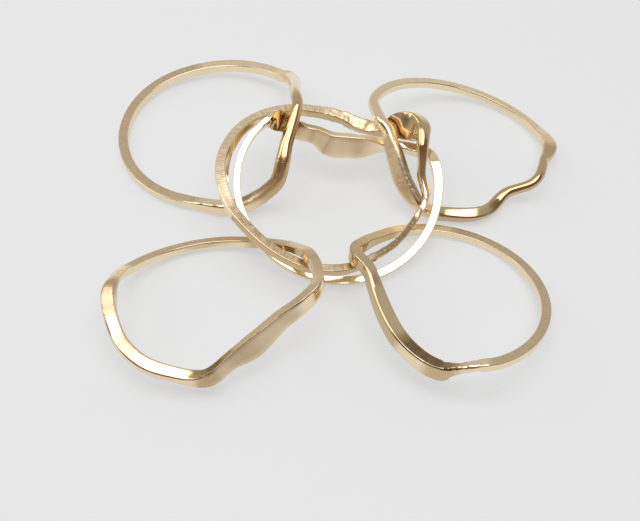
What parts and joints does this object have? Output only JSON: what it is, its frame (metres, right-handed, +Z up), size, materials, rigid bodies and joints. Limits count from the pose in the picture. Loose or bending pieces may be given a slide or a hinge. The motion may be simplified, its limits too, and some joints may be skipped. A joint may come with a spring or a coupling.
{
  "type": "puzzle ring",
  "caption": "Puzzle ring in pale gold, opened out and lying flat: linked finger bands with round shanks and waved fronts that fold together into one woven ring.",
  "frame": {"origin": "on the table, under the middle of the opened ring's bounding box", "axes": "+X to the right across the two upper bands, +Y away from the viewer, +Z up from the table"},
  "size_m": [0.0446, 0.0416, 0.0084],
  "materials": {
    "satin_gold": "satin side faces, polished fronts",
    "brushed_gold": "brushed side face, hammered front",
    "polished_gold": "mirror polish"
  },
  "bodies": {
    "root": {"upper_left_band": "satin_gold", "upper_right_band": "satin_gold", "lower_right_band": "satin_gold", "lower_left_band": "satin_gold", "brushed_middle_band": "brushed_gold", "polished_middle_band": "polished_gold"}
  },
  "joints": []
}
